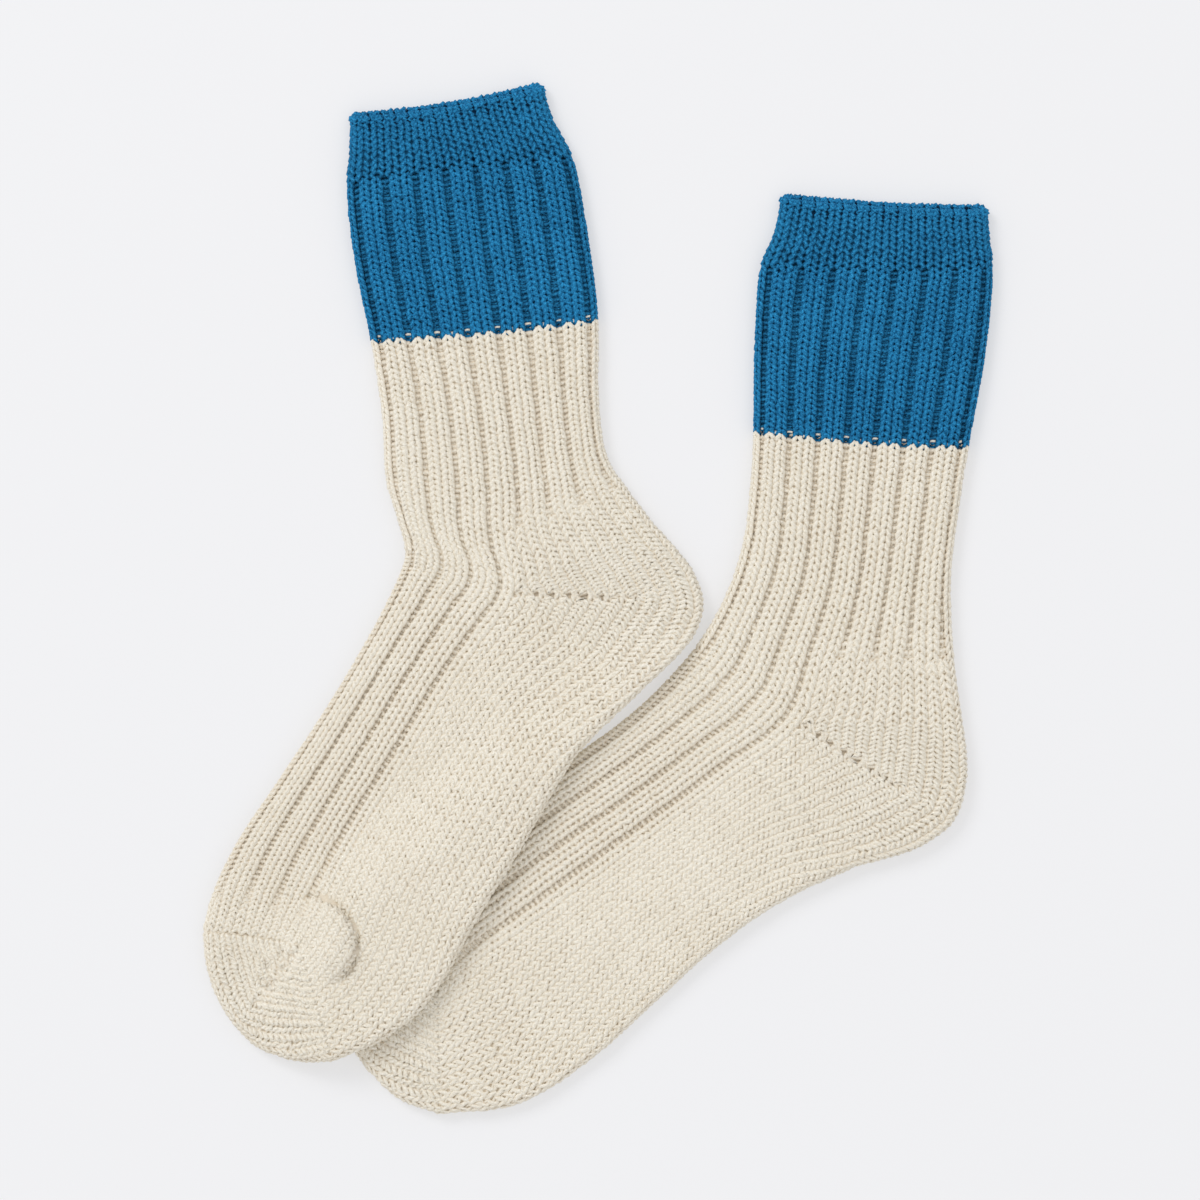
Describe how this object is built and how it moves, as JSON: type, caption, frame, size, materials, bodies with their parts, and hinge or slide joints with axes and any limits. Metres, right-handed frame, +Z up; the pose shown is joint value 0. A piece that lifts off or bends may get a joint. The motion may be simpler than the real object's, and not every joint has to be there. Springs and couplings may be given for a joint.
{
  "type": "pair of crew socks",
  "caption": "Pair of thick ribbed knitted crew socks with a deep contrast cuff, laid flat with one foot across the other.",
  "frame": {"origin": "centre of the pair's outline on the surface that the socks lie on", "axes": "+Z up from the surface, +Y towards the mouths of the socks, +X to the right seen from above"},
  "size_m": [0.29, 0.3767, 0.0175],
  "materials": {
    "cotton_blue": "thick cotton yarn, rib knitted",
    "cotton_ecru": "thick undyed cotton yarn, rib and plain knitted"
  },
  "bodies": {
    "root": {"lower_sock_cuff": "cotton_blue", "lower_sock_body": "cotton_ecru", "upper_sock_cuff": "cotton_blue", "upper_sock_body": "cotton_ecru"}
  },
  "joints": []
}
